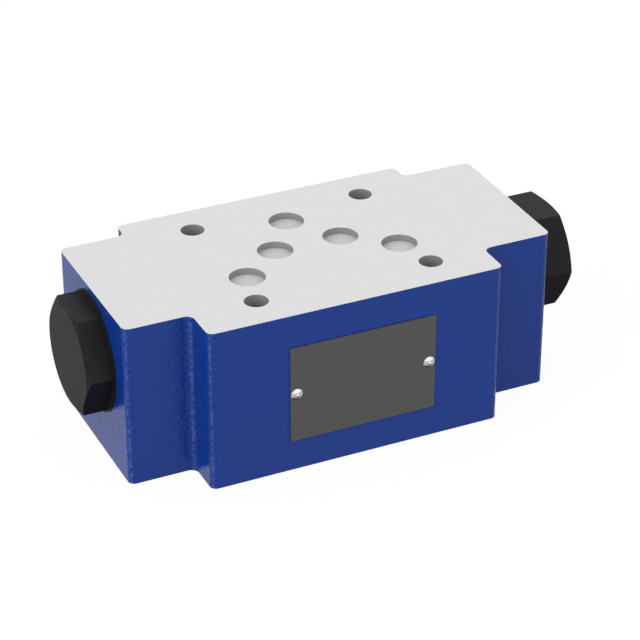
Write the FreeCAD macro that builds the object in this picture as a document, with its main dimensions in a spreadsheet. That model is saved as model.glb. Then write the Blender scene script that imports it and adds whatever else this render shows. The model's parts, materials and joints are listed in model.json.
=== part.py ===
"""Double pilot-operated check valve (hydraulic lock) as a size 10 sandwich plate.

Frame: millimetres, +Z up, +X along the two end plugs, the name plate at -Y. The origin is
the centre of the bolt pattern on the base face.

The pieces in the main bore are drawn for the right-hand side, along +X from the middle of
the bore. The left-hand ones are the same pieces turned half a turn about Z, and only the
hexagons of the two plugs differ: the right one is longer.
"""
import FreeCAD, Part
import Sketcher
import os
import re
from math import atan2

# Driving sizes, in millimetres and degrees: name, value, what it measures.
SIZES = [
    ("body_height", 50, "base face to top face"),
    ("end_reach", 66, "middle to either end face"),
    ("block_left", 46.2, "middle to the left side of the wide block"),
    ("block_right", 44, "middle to the right side of the wide block"),
    ("block_front", 34.75, "middle to the front of the wide block"),
    ("block_back", 34.6, "middle to the back of the wide block"),
    ("end_front", 22.75, "middle to the front of the narrow ends"),
    ("end_back", 28.15, "middle to the back of the narrow ends"),
    ("corner_radius", 2, "outside corners of the casting"),
    ("hollow_radius", 2.4, "inside corners of the casting"),
    ("bolt_span_x", 54, "bolt pattern, along X"),
    ("bolt_span_y", 46, "bolt pattern, along Y"),
    ("bolt_hole", 7, "through hole for an M6 bolt"),
    ("port_mouth", 10.5, "machined mouth of every port"),
    ("mouth_depth", 8, "depth of the machined mouths"),
    ("port_p_y", 16.7, "port P, behind the middle"),
    ("port_ab_x", 10.3, "ports A and B, beside the middle"),
    ("port_ab_y", 1.6, "ports A and B, behind the middle"),
    ("port_t_x", 23.8, "ports T, beside the middle"),
    ("port_t_y", 9.5, "ports T, in front of the middle"),
    ("seal_recess", 16, "diameter of the seal recesses in the base"),
    ("recess_depth", 1.5, "depth of the seal recesses"),
    ("channel", 9, "through channels of P and T"),
    ("channel_start", 5, "where a cast channel begins, from its face"),
    ("p_bow", 3.5, "how far channel P bows backwards round the bore"),
    ("t_bow_x", 5.3, "how far channels T bow towards the middle"),
    ("t_bow_y", 7.8, "how far channels T bow forwards round the bore"),
    ("feed", 8, "channel from a base port to its outer chamber"),
    ("feed_x", 36, "where the feed meets the outer chamber"),
    ("feed_entry", 2, "how far the feed's axis runs into the chamber"),
    ("bore_y", 2.7, "axis of the main bore, behind the middle"),
    ("bore_z", 30.2, "axis of the main bore, above the base"),
    ("run_fit", 0.02, "radial clearance of a sliding fit"),
    ("fixed_fit", 0.03, "radial clearance of a piece that is fixed"),
    ("land_bore_half", 6.5, "middle to the end of the spool's bore"),
    ("inner_bore", 18, "chamber between the spool and a seat"),
    ("shoulder_x", 16.5, "middle to the shoulder that stops a seat sleeve"),
    ("outer_bore", 24, "chamber round a plug's skirt"),
    ("thread_x", 48, "middle to the start of the plug's thread"),
    ("thread", 30, "plug thread"),
    ("seal_pocket", 32.4, "pocket for the plug's seal"),
    ("pocket_depth", 2.5, "depth of that pocket, from the end face"),
    ("sleeve", 20, "outside of the seat sleeve"),
    ("sleeve_length", 8, "length of the seat sleeve"),
    ("sleeve_bore", 11, "flow bore of the seat sleeve"),
    ("seat_bevel", 0.7, "45 degree seat at the sleeve's outer end"),
    ("groove_x", 2.6, "seal groove, from the sleeve's inner end"),
    ("groove_width", 2.4, "width of the sleeve's seal groove"),
    ("groove_depth", 1.7, "depth of the sleeve's seal groove"),
    ("seal_ease", 0.04, "clearance round a seal ring in its groove"),
    ("seat_gap", 0.05, "gap left between a valve face and its seat"),
    ("land", 16, "diameter of the spool's land"),
    ("land_length", 10, "length of the spool's land"),
    ("stem", 6, "spool stems"),
    ("tip", 3.2, "spool tips, which lift the pilot balls"),
    ("free_play", 0.5, "play from a centred spool to either ball"),
    ("touch_gap", 0.05, "gap left where the spool pushes a piece"),
    ("land_groove", 0.6, "width and depth of the spool's pressure grooves"),
    ("groove_pitch", 2.6, "spacing of the pressure grooves"),
    ("poppet", 16, "guided diameter of the poppet"),
    ("poppet_length", 21, "nose to back of the poppet"),
    ("nose", 7, "flat of the poppet's nose"),
    ("nose_hole", 4, "pilot hole in the nose"),
    ("nose_wall", 1.8, "length of the pilot hole"),
    ("lift", 3, "full opening of a poppet"),
    ("pilot_stroke", 0.8, "opening of the pilot ball before the poppet"),
    ("ball", 6.35, "pilot ball"),
    ("ball_bore", 7, "bore round the pilot ball"),
    ("ball_bore_length", 3, "length of that bore behind its seat"),
    ("spring_bore", 11, "bore for the spring in the poppet and the plug"),
    ("vent", 2, "balance holes through the poppet's wall"),
    ("vent_x", 1.6, "balance holes, behind the ball bore"),
    ("plate_gap", 0.3, "gap between the spring plate and the poppet"),
    ("plate_rim", 1.6, "thickness of the spring plate's rim"),
    ("plate_hub", 6, "hub that centres the spring"),
    ("hub_length", 2, "length of the hub"),
    ("wire", 1.2, "spring wire"),
    ("coil", 9.2, "mean diameter of the spring"),
    ("turns", 8, "turns of the spring"),
    ("skirt", 21, "outside of the plug's skirt"),
    ("window", 6, "flow windows in the skirt"),
    ("window_x", 3.6, "axis of the windows, from the skirt's end"),
    ("floor_gap", 0.3, "room behind a fully open poppet"),
    ("spring_pocket", 6, "depth of the spring's pocket in the plug"),
    ("thread_lead", 1, "chamfer and free length before the thread"),
    ("neck", 27.3, "undercut that carries the plug's seal"),
    ("collar", 35.7, "round collar of the plug"),
    ("collar_length", 0.3, "thickness of the collar"),
    ("hexagon", 30, "across the flats of the plug's head"),
    ("hexagon_left", 7.5, "length of the left plug's hexagon"),
    ("hexagon_right", 13.6, "length of the right plug's hexagon"),
    ("hexagon_slope", 20, "chamfer angle of the hexagon's outer corners"),
    ("plate_width", 45, "name plate, along X"),
    ("plate_height", 30, "name plate, upright"),
    ("plate_thick", 0.5, "thickness of the name plate"),
    ("plate_x", 0.2, "middle of the name plate, right of the middle"),
    ("plate_z", 24.8, "middle of the name plate, above the base"),
    ("rivet_inset", 1.9, "either end of the name plate to its rivet"),
    ("rivet_head", 3.6, "diameter of a rivet's head"),
    ("rivet_rise", 0.8, "height of a rivet's head"),
    ("rivet_shank", 2, "diameter of a rivet's shank"),
    ("rivet_depth", 5, "length of a rivet's shank under the head"),
    ("ring_inside", 11.6, "inside of a port seal, squeezed flat"),
    ("flush_gap", 0.05, "port seals stay this far inside the base face"),
    ("cap_recess", 2.1, "top face to the face of a port plug"),
    ("cap_length", 4.5, "length of a port plug"),
    ("cap_wall", 1.2, "wall of a port plug"),
]

DOC = FreeCAD.newDocument("LockValve")
SHEET = DOC.addObject("Spreadsheet::Sheet", "Sizes")
NAMES = {name for name, _, _ in SIZES}

# Places along the right-hand half of the main bore, from the middle outwards.
SEAT = "(shoulder_x + sleeve_length)"
SEAT_RADIUS = "(sleeve_bore / 2 + seat_bevel)"
NOSE = f"({SEAT} - {SEAT_RADIUS} + nose / 2 + seat_gap * sqrt(2))"
BALL_SEAT = f"({NOSE} + nose_wall)"
BALL = f"({BALL_SEAT} - nose_hole / 2 + (ball / 2 + seat_gap) * sqrt(2))"
CAGE = f"({BALL_SEAT} + (ball_bore - nose_hole) / 2 + ball_bore_length)"
PLATE = f"({CAGE} + plate_gap)"
POPPET_BACK = f"({NOSE} + poppet_length)"
SKIRT_FLOOR = f"({POPPET_BACK} + lift + floor_gap)"
SPRING_FLOOR = f"({SKIRT_FLOOR} + spring_pocket)"
HEAD = "(end_reach + collar_length)"

# The rivets of the name plate, from its middle.
RIVET_X = "(plate_width / 2 - rivet_inset)"

# Ports of the mounting pattern: name, X, Y.
PORTS = [
    ("p", "0", "port_p_y"),
    ("a", "-port_ab_x", "port_ab_y"),
    ("b", "port_ab_x", "port_ab_y"),
    ("t_left", "-port_t_x", "-port_t_y"),
    ("t_right", "port_t_x", "-port_t_y"),
]

PIECES = []


def fill_sheet():
    """Write every driving size to the sheet as a plain number with an alias."""
    for row, (name, number, meaning) in enumerate(SIZES, start=1):
        SHEET.set(f"A{row}", name)
        SHEET.set(f"B{row}", str(number))
        SHEET.set(f"C{row}", meaning)
        SHEET.setAlias(f"B{row}", name)
    DOC.recompute()


def formula(text):
    """Point every size named in a formula at its cell."""
    return re.sub(r"[a-z_]+", lambda word: ("Sizes." if word[0] in NAMES else "") + word[0], text)


def bind(item, path, text):
    """Bind one property of an object to a formula."""
    item.setExpression(path, formula(text))


def value(text):
    """Present value of a formula."""
    result = SHEET.evalExpression(formula(text))
    return float(getattr(result, "Value", result))


def new_piece(name):
    """A body with the name of its node."""
    body = DOC.addObject("PartDesign::Body", name)
    body.Label = name
    PIECES.append(body)
    return body


def place(body, x="0", y="0", z="0", turn=0):
    """Put a body at bound coordinates, turned about Z."""
    spin = FreeCAD.Rotation(FreeCAD.Vector(0, 0, 1), turn)
    body.Placement = FreeCAD.Placement(FreeCAD.Vector(value(x), value(y), value(z)), spin)
    for axis, text in zip("xyz", (x, y, z)):
        bind(body, f"Placement.Base.{axis}", text)


def place_in_bore(body, side, x="0"):
    """Put a piece on the axis of the main bore, facing right or left."""
    place(body, x, "bore_y", "bore_z", 0 if side == "right" else 180)


def origin_plane(body, role):
    return next(item for item in body.Origin.OriginFeatures if item.Role == role)


def new_sketch(body, role, name, x="0", y="0", up="0"):
    """A sketch on one of the body's planes, with bound offsets in the plane and out of it."""
    sketch = body.newObject("Sketcher::SketchObject", name)
    sketch.AttachmentSupport = [(origin_plane(body, role), "")]
    sketch.MapMode = "FlatFace"
    for axis, text in zip("xyz", (x, y, up)):
        bind(sketch, f"AttachmentOffset.Base.{axis}", text)
    return sketch


def pin_point(sketch, line, end, x, y):
    """Hold a point of a sketch at bound coordinates."""
    for text, kind, axis in ((x, "DistanceX", -2), (y, "DistanceY", -1)):
        if text == "0":
            sketch.addConstraint(Sketcher.Constraint("PointOnObject", line, end, axis))
            continue
        rule = Sketcher.Constraint(kind, -1, 1, line, end, value(text))
        bind(sketch, f"Constraints[{sketch.addConstraint(rule)}]", text)


def draw_loop(sketch, corners):
    """A closed outline of straight lines through corners given as pairs of formulas."""
    first = sketch.GeometryCount
    spots = [FreeCAD.Vector(value(x), value(y), 0) for x, y in corners]
    for start, end in zip(spots, spots[1:] + spots[:1]):
        sketch.addGeometry(Part.LineSegment(start, end))
    for index, (x, y) in enumerate(corners):
        following = first + (index + 1) % len(corners)
        sketch.addConstraint(Sketcher.Constraint("Coincident", first + index, 2, following, 1))
        pin_point(sketch, first + index, 1, x, y)


def draw_domed(sketch, corners, middle, axis):
    """Straight lines through the corners, closed by an arc whose middle stays on an axis."""
    spots = [FreeCAD.Vector(value(x), value(y), 0) for x, y in corners]
    last = len(corners) - 2
    for start, end in zip(spots, spots[1:]):
        sketch.addGeometry(Part.LineSegment(start, end))
    centre = FreeCAD.Vector(*middle, 0)
    circle = Part.Circle(centre, FreeCAD.Vector(0, 0, 1), spots[0].distanceToPoint(centre))
    begin, finish = (atan2(spot.y - centre.y, spot.x - centre.x) for spot in (spots[-1], spots[0]))
    arc = sketch.addGeometry(Part.ArcOfCircle(circle, begin, finish))
    for line in range(last):
        sketch.addConstraint(Sketcher.Constraint("Coincident", line, 2, line + 1, 1))
    for line in range(last + 1):
        pin_point(sketch, line, 1, *corners[line])
    pin_point(sketch, last, 2, *corners[-1])
    sketch.addConstraint(Sketcher.Constraint("Coincident", arc, 1, last, 2))
    sketch.addConstraint(Sketcher.Constraint("Coincident", arc, 2, 0, 1))
    sketch.addConstraint(Sketcher.Constraint("PointOnObject", arc, 3, axis))


def draw_circle(sketch, x, y, diameter):
    middle = FreeCAD.Vector(value(x), value(y), 0)
    normal = FreeCAD.Vector(0, 0, 1)
    circle = sketch.addGeometry(Part.Circle(middle, normal, value(diameter) / 2))
    rule = Sketcher.Constraint("Diameter", circle, value(diameter))
    bind(sketch, f"Constraints[{sketch.addConstraint(rule)}]", diameter)
    pin_point(sketch, circle, 3, x, y)


def pad(body, sketch, name, length):
    feature = body.newObject("PartDesign::Pad", name)
    feature.Profile = sketch
    bind(feature, "Length", length)
    return feature


def pocket(body, sketch, name, depth="", reverse=False, both_ways=False):
    """Cut a sketch to a depth, or through the whole body where no depth is given."""
    feature = body.newObject("PartDesign::Pocket", name)
    feature.Profile = sketch
    feature.Reversed = reverse
    if both_ways:
        feature.SideType = "Symmetric"
    if depth:
        bind(feature, "Length", depth)
    else:
        feature.Type = "ThroughAll"
    return feature


def turn(body, sketch, name, axis="H_Axis", cut=False):
    """Revolve a sketch a full turn about one of its axes, to add or to cut."""
    feature = body.newObject("PartDesign::Groove" if cut else "PartDesign::Revolution", name)
    feature.Profile = sketch
    feature.ReferenceAxis = (sketch, [axis])
    feature.Angle = 360
    return feature


def repeat_round(body, feature, name, angle, count):
    """Repeat a feature about the X axis."""
    pattern = body.newObject("PartDesign::PolarPattern", name)
    pattern.Originals = [feature]
    pattern.Axis = (next(item for item in body.Origin.OriginFeatures if item.Role == "X_Axis"), [""])
    pattern.Angle = angle
    pattern.Occurrences = count
    body.Tip = pattern
    return pattern


def round_edges(body, base, name, radius, wanted):
    """Fillet the upright edges that stand at the wanted corners."""
    spots = [(value(x), value(y)) for x, y in wanted]
    chosen = []
    for number, edge in enumerate(base.Shape.Edges, start=1):
        low, high = (vertex.Point for vertex in edge.Vertexes)
        upright = abs(low.x - high.x) + abs(low.y - high.y) < 0.001
        if upright and any(abs(low.x - x) + abs(low.y - y) < 0.001 for x, y in spots):
            chosen.append(f"Edge{number}")
    fillet = body.newObject("PartDesign::Fillet", name)
    fillet.Base = (base, chosen)
    bind(fillet, "Radius", radius)
    return fillet


def cast_channel(body, name, start, end, diameter, overrun="0"):
    """Cut a straight round channel between two points given as formulas."""
    run = [f"(({far}) - ({near}))" for near, far in zip(start, end)]
    sideways = f"hypot({run[0]}; {run[1]})"
    channel = body.newObject("PartDesign::SubtractiveCylinder", name)
    channel.AttachmentSupport = [(origin_plane(body, "XY_Plane"), "")]
    channel.MapMode = "FlatFace"
    tilt = FreeCAD.Rotation(FreeCAD.Vector(-value(run[1]), value(run[0]), 0), 10)
    channel.AttachmentOffset = FreeCAD.Placement(FreeCAD.Vector(0, 0, 0), tilt)
    for axis, text in zip("xyz", start):
        bind(channel, f"AttachmentOffset.Base.{axis}", text)
    bind(channel, "AttachmentOffset.Rotation.Axis.x", f"-{run[1]}")
    bind(channel, "AttachmentOffset.Rotation.Axis.y", run[0])
    bind(channel, "AttachmentOffset.Rotation.Angle", f"atan2({sideways}; {run[2]})")
    bind(channel, "Radius", f"({diameter}) / 2")
    bind(channel, "Height", f"hypot({sideways}; {run[2]}) + {overrun}")
    return channel


def add_bowed_channel(body, name, x, y, bow_x, bow_y):
    """A through channel that bows round the main bore, from both machined mouths."""
    middle = (f"{x} + {bow_x}", f"{y} + {bow_y}", "bore_z")
    for level, z in (("Base", "channel_start"), ("Top", "body_height - channel_start")):
        cast_channel(body, f"{name}{level}", (x, y, z), middle, "channel", "channel / 3")


def cut_ports(body, name, height, depth, diameter, ports, reverse):
    sketch = new_sketch(body, "XY_Plane", f"{name}Circles", up=height)
    for _, x, y in ports:
        draw_circle(sketch, x, y, diameter)
    pocket(body, sketch, name, depth, reverse)


def make_housing():
    """Cast body: stepped block, port mouths, bolt holes, the stepped main bore and channels."""
    body = new_piece("housing")
    outline = new_sketch(body, "XY_Plane", "Outline")
    convex = [
        ("-end_reach", "-end_front"), ("-block_left", "-block_front"),
        ("block_right", "-block_front"), ("end_reach", "-end_front"),
        ("end_reach", "end_back"), ("block_right", "block_back"),
        ("-block_left", "block_back"), ("-end_reach", "end_back"),
    ]
    concave = [
        ("-block_left", "-end_front"), ("block_right", "-end_front"),
        ("block_right", "end_back"), ("-block_left", "end_back"),
    ]
    corners = [
        convex[0], concave[0], convex[1], convex[2], concave[1], convex[3],
        convex[4], concave[2], convex[5], convex[6], concave[3], convex[7],
    ]
    draw_loop(outline, corners)
    block = pad(body, outline, "Block", "body_height")
    DOC.recompute()
    rounded = round_edges(body, block, "Corners", "corner_radius", convex)
    DOC.recompute()
    round_edges(body, rounded, "Hollows", "hollow_radius", concave)

    work_ports = [port for port in PORTS if port[0] in ("a", "b")]
    through_ports = [port for port in PORTS if port[0] not in ("a", "b")]
    cut_ports(body, "TopMouths", "body_height", "mouth_depth", "port_mouth", through_ports, False)
    cut_ports(body, "WorkPorts", "body_height", "body_height - bore_z", "port_mouth", work_ports, False)
    cut_ports(body, "BaseMouths", "0", "mouth_depth", "port_mouth", PORTS, True)
    cut_ports(body, "SealRecesses", "0", "recess_depth", "seal_recess", PORTS, True)

    bolts = new_sketch(body, "XY_Plane", "BoltCircles")
    for x in ("-bolt_span_x / 2", "bolt_span_x / 2"):
        for y in ("-bolt_span_y / 2", "bolt_span_y / 2"):
            draw_circle(bolts, x, y, "bolt_hole")
    pocket(body, bolts, "BoltHoles", reverse=True)

    half = [
        ("land_bore_half", "land / 2 + run_fit"), ("land_bore_half", "inner_bore / 2"),
        ("shoulder_x", "inner_bore / 2"), ("shoulder_x", "sleeve / 2 + fixed_fit"),
        (SEAT, "sleeve / 2 + fixed_fit"), (SEAT, "outer_bore / 2"),
        ("thread_x", "outer_bore / 2"), ("thread_x", "thread / 2"),
        ("end_reach - pocket_depth", "thread / 2"), ("end_reach - pocket_depth", "seal_pocket / 2"),
        ("end_reach + 1", "seal_pocket / 2"), ("end_reach + 1", "0"),
    ]
    mirrored = [(f"-{x}" if x[0] == "(" else f"-({x})", radius) for x, radius in reversed(half)]
    bore = new_sketch(body, "XZ_Plane", "BoreProfile", y="bore_z", up="-bore_y")
    draw_loop(bore, half + mirrored)
    turn(body, bore, "MainBore", cut=True)

    add_bowed_channel(body, "ChannelP", "0", "port_p_y", "0", "p_bow")
    for side, sign in (("Left", "-"), ("Right", "")):
        inward = "" if sign else "-"
        add_bowed_channel(body, f"ChannelT{side}", f"{sign}port_t_x", "-port_t_y",
                          f"({inward}t_bow_x)", "(-t_bow_y)")
        start = (f"{sign}port_ab_x", "port_ab_y", "channel_start")
        end = (f"{sign}feed_x", "bore_y", "bore_z - outer_bore / 2 + feed_entry")
        cast_channel(body, f"Feed{side}", start, end, "feed")

    rivets = new_sketch(body, "XZ_Plane", "RivetCircles", up="block_front")
    for x in (f"plate_x - {RIVET_X}", f"plate_x + {RIVET_X}"):
        draw_circle(rivets, x, "plate_z", "rivet_shank + 2 * fixed_fit")
    pocket(body, rivets, "RivetHoles", "rivet_depth")


def make_ring(name, x, radius, thickness):
    """A seal ring of round section, on the axis of the main bore."""
    body = new_piece(name)
    section = new_sketch(body, "XZ_Plane", "Section")
    draw_circle(section, x, radius, thickness)
    turn(body, section, "Ring")
    return body


def make_seat_sleeve(side):
    """Hardened sleeve with the 45 degree seat at its outer end and a seal groove outside."""
    body = new_piece(f"seat_sleeve_{side}")
    groove_end = "shoulder_x + groove_x + groove_width"
    profile = new_sketch(body, "XZ_Plane", "Profile")
    draw_loop(profile, [
        ("shoulder_x", "sleeve_bore / 2"), (f"{SEAT} - seat_bevel", "sleeve_bore / 2"),
        (SEAT, SEAT_RADIUS), (SEAT, "sleeve / 2"),
        (groove_end, "sleeve / 2"), (groove_end, "sleeve / 2 - groove_depth"),
        ("shoulder_x + groove_x", "sleeve / 2 - groove_depth"), ("shoulder_x + groove_x", "sleeve / 2"),
        ("shoulder_x", "sleeve / 2"),
    ])
    turn(body, profile, "Sleeve")
    place_in_bore(body, side)
    seal = make_ring(f"sleeve_seal_{side}", "shoulder_x + groove_x + groove_width / 2",
                     "sleeve / 2 - groove_depth / 2", "groove_depth - 2 * seal_ease")
    place_in_bore(seal, side)


def make_poppet(side):
    """Hollow cone poppet with the pilot hole in its nose and balance holes in its wall."""
    body = new_piece(f"poppet_{side}")
    bevel = "seat_bevel"
    profile = new_sketch(body, "XZ_Plane", "Profile")
    draw_loop(profile, [
        (NOSE, "nose_hole / 2"), (NOSE, "nose / 2"),
        (f"{NOSE} + poppet / 2 - nose / 2", "poppet / 2"),
        (f"{POPPET_BACK} - {bevel}", "poppet / 2"), (POPPET_BACK, f"poppet / 2 - {bevel}"),
        (POPPET_BACK, "spring_bore / 2"), (CAGE, "spring_bore / 2"), (CAGE, "ball_bore / 2"),
        (f"{BALL_SEAT} + (ball_bore - nose_hole) / 2", "ball_bore / 2"),
        (BALL_SEAT, "nose_hole / 2"),
    ])
    turn(body, profile, "Poppet")
    vent = new_sketch(body, "XY_Plane", "VentCircle")
    draw_circle(vent, f"{CAGE} + vent_x", "0", "vent")
    vents = pocket(body, vent, "Vents", both_ways=True)
    repeat_round(body, vents, "VentCross", 90, 2)
    place_in_bore(body, side)


def make_pilot_ball(side):
    """Pilot ball, which is lifted first to let the locked pressure down."""
    body = new_piece(f"pilot_ball_{side}")
    half_disc = new_sketch(body, "XZ_Plane", "HalfDisc")
    ends = [(f"{BALL} - ball / 2", "0"), (f"{BALL} + ball / 2", "0")]
    draw_domed(half_disc, ends, (value(BALL), 0), -1)
    turn(body, half_disc, "Ball")
    place_in_bore(body, side)


def make_spring_plate(side):
    """Spring plate: a conical cup holds the ball, a hub centres the spring."""
    body = new_piece(f"spring_plate_{side}")
    rim = "spring_bore / 2 - plate_gap"
    cup_tip = f"({BALL} + (ball / 2 + seat_gap) * sqrt(2))"
    profile = new_sketch(body, "XZ_Plane", "Profile")
    draw_loop(profile, [
        (PLATE, f"{cup_tip} - {PLATE}"), (PLATE, rim),
        (f"{PLATE} + plate_rim", rim), (f"{PLATE} + plate_rim", "plate_hub / 2"),
        (f"{PLATE} + plate_rim + hub_length", "plate_hub / 2"),
        (f"{PLATE} + plate_rim + hub_length", "0"), (cup_tip, "0"),
    ])
    turn(body, profile, "Plate")
    place_in_bore(body, side)


def make_spring(side):
    """Compression spring from the spring plate to the floor of its pocket in the plug."""
    body = new_piece(f"poppet_spring_{side}")
    start = f"({PLATE} + plate_rim + wire / 2 + seat_gap)"
    end = f"({SPRING_FLOOR} - wire / 2 - seat_gap)"
    section = new_sketch(body, "XZ_Plane", "Section")
    draw_circle(section, start, "coil / 2", "wire")
    helix = body.newObject("PartDesign::AdditiveHelix", "Coils")
    helix.Profile = section
    helix.ReferenceAxis = (section, ["H_Axis"])
    helix.Mode = "height-turns-angle"
    bind(helix, "Height", f"{end} - {start}")
    bind(helix, "Turns", "turns")
    place_in_bore(body, side)


def make_plug(side):
    """End plug: hexagon head, collar, thread, and a windowed skirt that guides the poppet."""
    body = new_piece(f"plug_{side}")
    guide = "poppet / 2 + run_fit"
    thread = "thread / 2 - fixed_fit"
    seal_shelf = "end_reach - pocket_depth"
    profile = new_sketch(body, "XZ_Plane", "Profile")
    draw_loop(profile, [
        (SEAT, guide), (SEAT, "skirt / 2"), ("thread_x + thread_lead", "skirt / 2"),
        ("thread_x + thread_lead", f"{thread} - thread_lead"),
        ("thread_x + 2 * thread_lead", thread), (seal_shelf, thread), (seal_shelf, "neck / 2"),
        ("end_reach", "neck / 2"), ("end_reach", "collar / 2"), (HEAD, "collar / 2"), (HEAD, "0"),
        (SPRING_FLOOR, "0"), (SPRING_FLOOR, "spring_bore / 2"),
        (SKIRT_FLOOR, "spring_bore / 2"), (SKIRT_FLOOR, guide),
    ])
    turn(body, profile, "Turned")

    window = new_sketch(body, "XY_Plane", "WindowCircle")
    draw_circle(window, f"{SEAT} + window_x", "0", "window")
    windows = pocket(body, window, "Windows", both_ways=True)
    repeat_round(body, windows, "WindowRing", 120, 3)

    tall = "hexagon / 2"
    point = "hexagon / sqrt(3)"
    hexagon = new_sketch(body, "YZ_Plane", "Hexagon", up=HEAD)
    draw_loop(hexagon, [
        (f"-{point}", "0"), (f"-{point} / 2", f"-{tall}"), (f"{point} / 2", f"-{tall}"),
        (point, "0"), (f"{point} / 2", tall), (f"-{point} / 2", tall),
    ])
    pad(body, hexagon, "Head", f"hexagon_{side}")
    bevel = new_sketch(body, "XZ_Plane", "HeadBevel")
    head_end = f"({HEAD} + hexagon_{side})"
    rise = f"({point} + 1)"
    draw_loop(bevel, [
        (head_end, tall), (head_end, rise),
        (f"{head_end} - ({rise} - {tall}) * tan(hexagon_slope)", rise),
    ])
    turn(body, bevel, "HeadChamfer", cut=True)
    place_in_bore(body, side)

    ring = "(seal_pocket - neck) / 2"
    seal = make_ring(f"plug_seal_{side}", "end_reach - pocket_depth / 2",
                     "(seal_pocket + neck) / 4", f"{ring} - 3 * seal_ease")
    place_in_bore(seal, side)


def make_spool():
    """Floating control spool: one land with pressure grooves, a stem and a tip at each side."""
    body = new_piece("control_spool")
    tip_end = f"({BALL} - ball / 2 - free_play)"
    push_face = f"({NOSE} - free_play - pilot_stroke)"
    right = [
        ("land_length / 2", "land / 2"), ("land_length / 2", "stem / 2"),
        (push_face, "stem / 2"), (push_face, "tip / 2"), (tip_end, "tip / 2"), (tip_end, "0"),
    ]
    left = [(f"-({x})", radius) for x, radius in reversed(right)]
    grooves = []
    for place_along in ("-groove_pitch", "0", "groove_pitch"):
        near, far = (f"{place_along} {sign} land_groove / 2" for sign in "-+")
        bottom = "land / 2 - land_groove"
        grooves += [(near, "land / 2"), (near, bottom), (far, bottom), (far, "land / 2")]
    profile = new_sketch(body, "XZ_Plane", "Profile")
    draw_loop(profile, left + grooves + right)
    turn(body, profile, "Spool")
    place_in_bore(body, "right", x="touch_gap - free_play")


def make_name_plate():
    """Bare name plate and its two domed drive rivets."""
    body = new_piece("name_plate")
    outline = new_sketch(body, "XZ_Plane", "Outline")
    across, up = "plate_width / 2", "plate_height / 2"
    draw_loop(outline, [(f"-{across}", f"-{up}"), (across, f"-{up}"), (across, up), (f"-{across}", up)])
    for x in (f"-{RIVET_X}", RIVET_X):
        draw_circle(outline, x, "0", "rivet_shank + 2 * fixed_fit")
    pad(body, outline, "Sheet", "plate_thick")
    place(body, "plate_x", "-block_front", "plate_z")

    for side, x in (("left", f"plate_x - {RIVET_X}"), ("right", f"plate_x + {RIVET_X}")):
        make_rivet(side, x)


def make_rivet(side, x):
    """Drive rivet: its axis is Y, the dome towards -Y."""
    body = new_piece(f"rivet_{side}")
    profile = new_sketch(body, "XY_Plane", "Profile")
    head, rise = value("rivet_head / 2"), value("rivet_rise")
    bend = (rise ** 2 + head ** 2) / (2 * rise)
    corners = [("rivet_head / 2", "0"), ("rivet_shank / 2", "0"),
               ("rivet_shank / 2", "rivet_depth"), ("0", "rivet_depth"), ("0", "-rivet_rise")]
    draw_domed(profile, corners, (0, bend - rise), -2)
    turn(body, profile, "Rivet", axis="V_Axis")
    place(body, x, "-block_front - plate_thick", "plate_z")


def make_port_seal(port, x, y):
    """Port seal in its recess in the base, squeezed flush as when the valve is bolted down."""
    body = new_piece(f"port_seal_{port}")
    outside = "seal_recess / 2 - seal_ease"
    section = new_sketch(body, "XZ_Plane", "Section")
    draw_loop(section, [
        ("ring_inside / 2", "flush_gap"), (outside, "flush_gap"),
        (outside, "recess_depth"), ("ring_inside / 2", "recess_depth"),
    ])
    turn(body, section, "Ring", axis="V_Axis")
    place(body, x, y)


def make_port_plug(port, x, y):
    """Push-in cap that closes a port in the top face, a little below the face."""
    body = new_piece(f"port_plug_{port}")
    outside = "port_mouth / 2 - fixed_fit"
    inside = f"{outside} - cap_wall"
    profile = new_sketch(body, "XZ_Plane", "Profile")
    draw_loop(profile, [
        ("0", "-cap_recess"), (outside, "-cap_recess"), (outside, "-cap_recess - cap_length"),
        (inside, "-cap_recess - cap_length"), (inside, "-cap_recess - cap_wall"),
        ("0", "-cap_recess - cap_wall"),
    ])
    turn(body, profile, "Cap", axis="V_Axis")
    place(body, x, y, "body_height")


def check_model():
    """Stop on any failed object, on any cut that removed nothing, and on any bad solid."""
    for item in DOC.Objects:
        if {"Invalid", "Error"} & set(item.State):
            raise RuntimeError(f"{item.Label} failed: {item.State}")
        cuts = ("Pocket", "Groove", "SubtractiveCylinder")
        if item.TypeId.endswith(cuts) and item.BaseFeature.Shape.Volume - item.Shape.Volume < 0.01:
            raise RuntimeError(f"{item.Label} cut nothing")
    for body in PIECES:
        shape = body.Shape
        if shape.isNull() or not shape.isValid() or len(shape.Solids) != 1:
            raise RuntimeError(f"{body.Label} is not one valid solid")


def main():
    fill_sheet()
    make_housing()
    for side in ("left", "right"):
        make_seat_sleeve(side)
        make_poppet(side)
        make_pilot_ball(side)
        make_spring_plate(side)
        make_spring(side)
        make_plug(side)
    make_spool()
    make_name_plate()
    for port in PORTS:
        make_port_seal(*port)
        make_port_plug(*port)
    DOC.recompute()
    check_model()
    os.makedirs("parts", exist_ok=True)
    for body in PIECES:
        body.Shape.exportStep(f"parts/{body.Label}.step")
        print(f"{body.Label}: {body.Shape.Volume:.1f} mm3")


main()
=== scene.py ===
# %% [markdown]
# # A hydraulic lock valve, dressed for its portrait
#
# The object is a double pilot-operated check valve, built as a sandwich plate that is bolted
# between a manifold and a directional valve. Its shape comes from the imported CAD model: every
# solid is loaded as a fixed frame, in metres, with +Z up and the base face at z = 0.
#
# What is left for Blender is what the eye reads as material: blue enamel over a casting,
# machined faces left bare, black plugs, a dark name plate and its bright rivets. A few small
# pieces that repeat or follow a rule are made here too, with Geometry Nodes.

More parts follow.
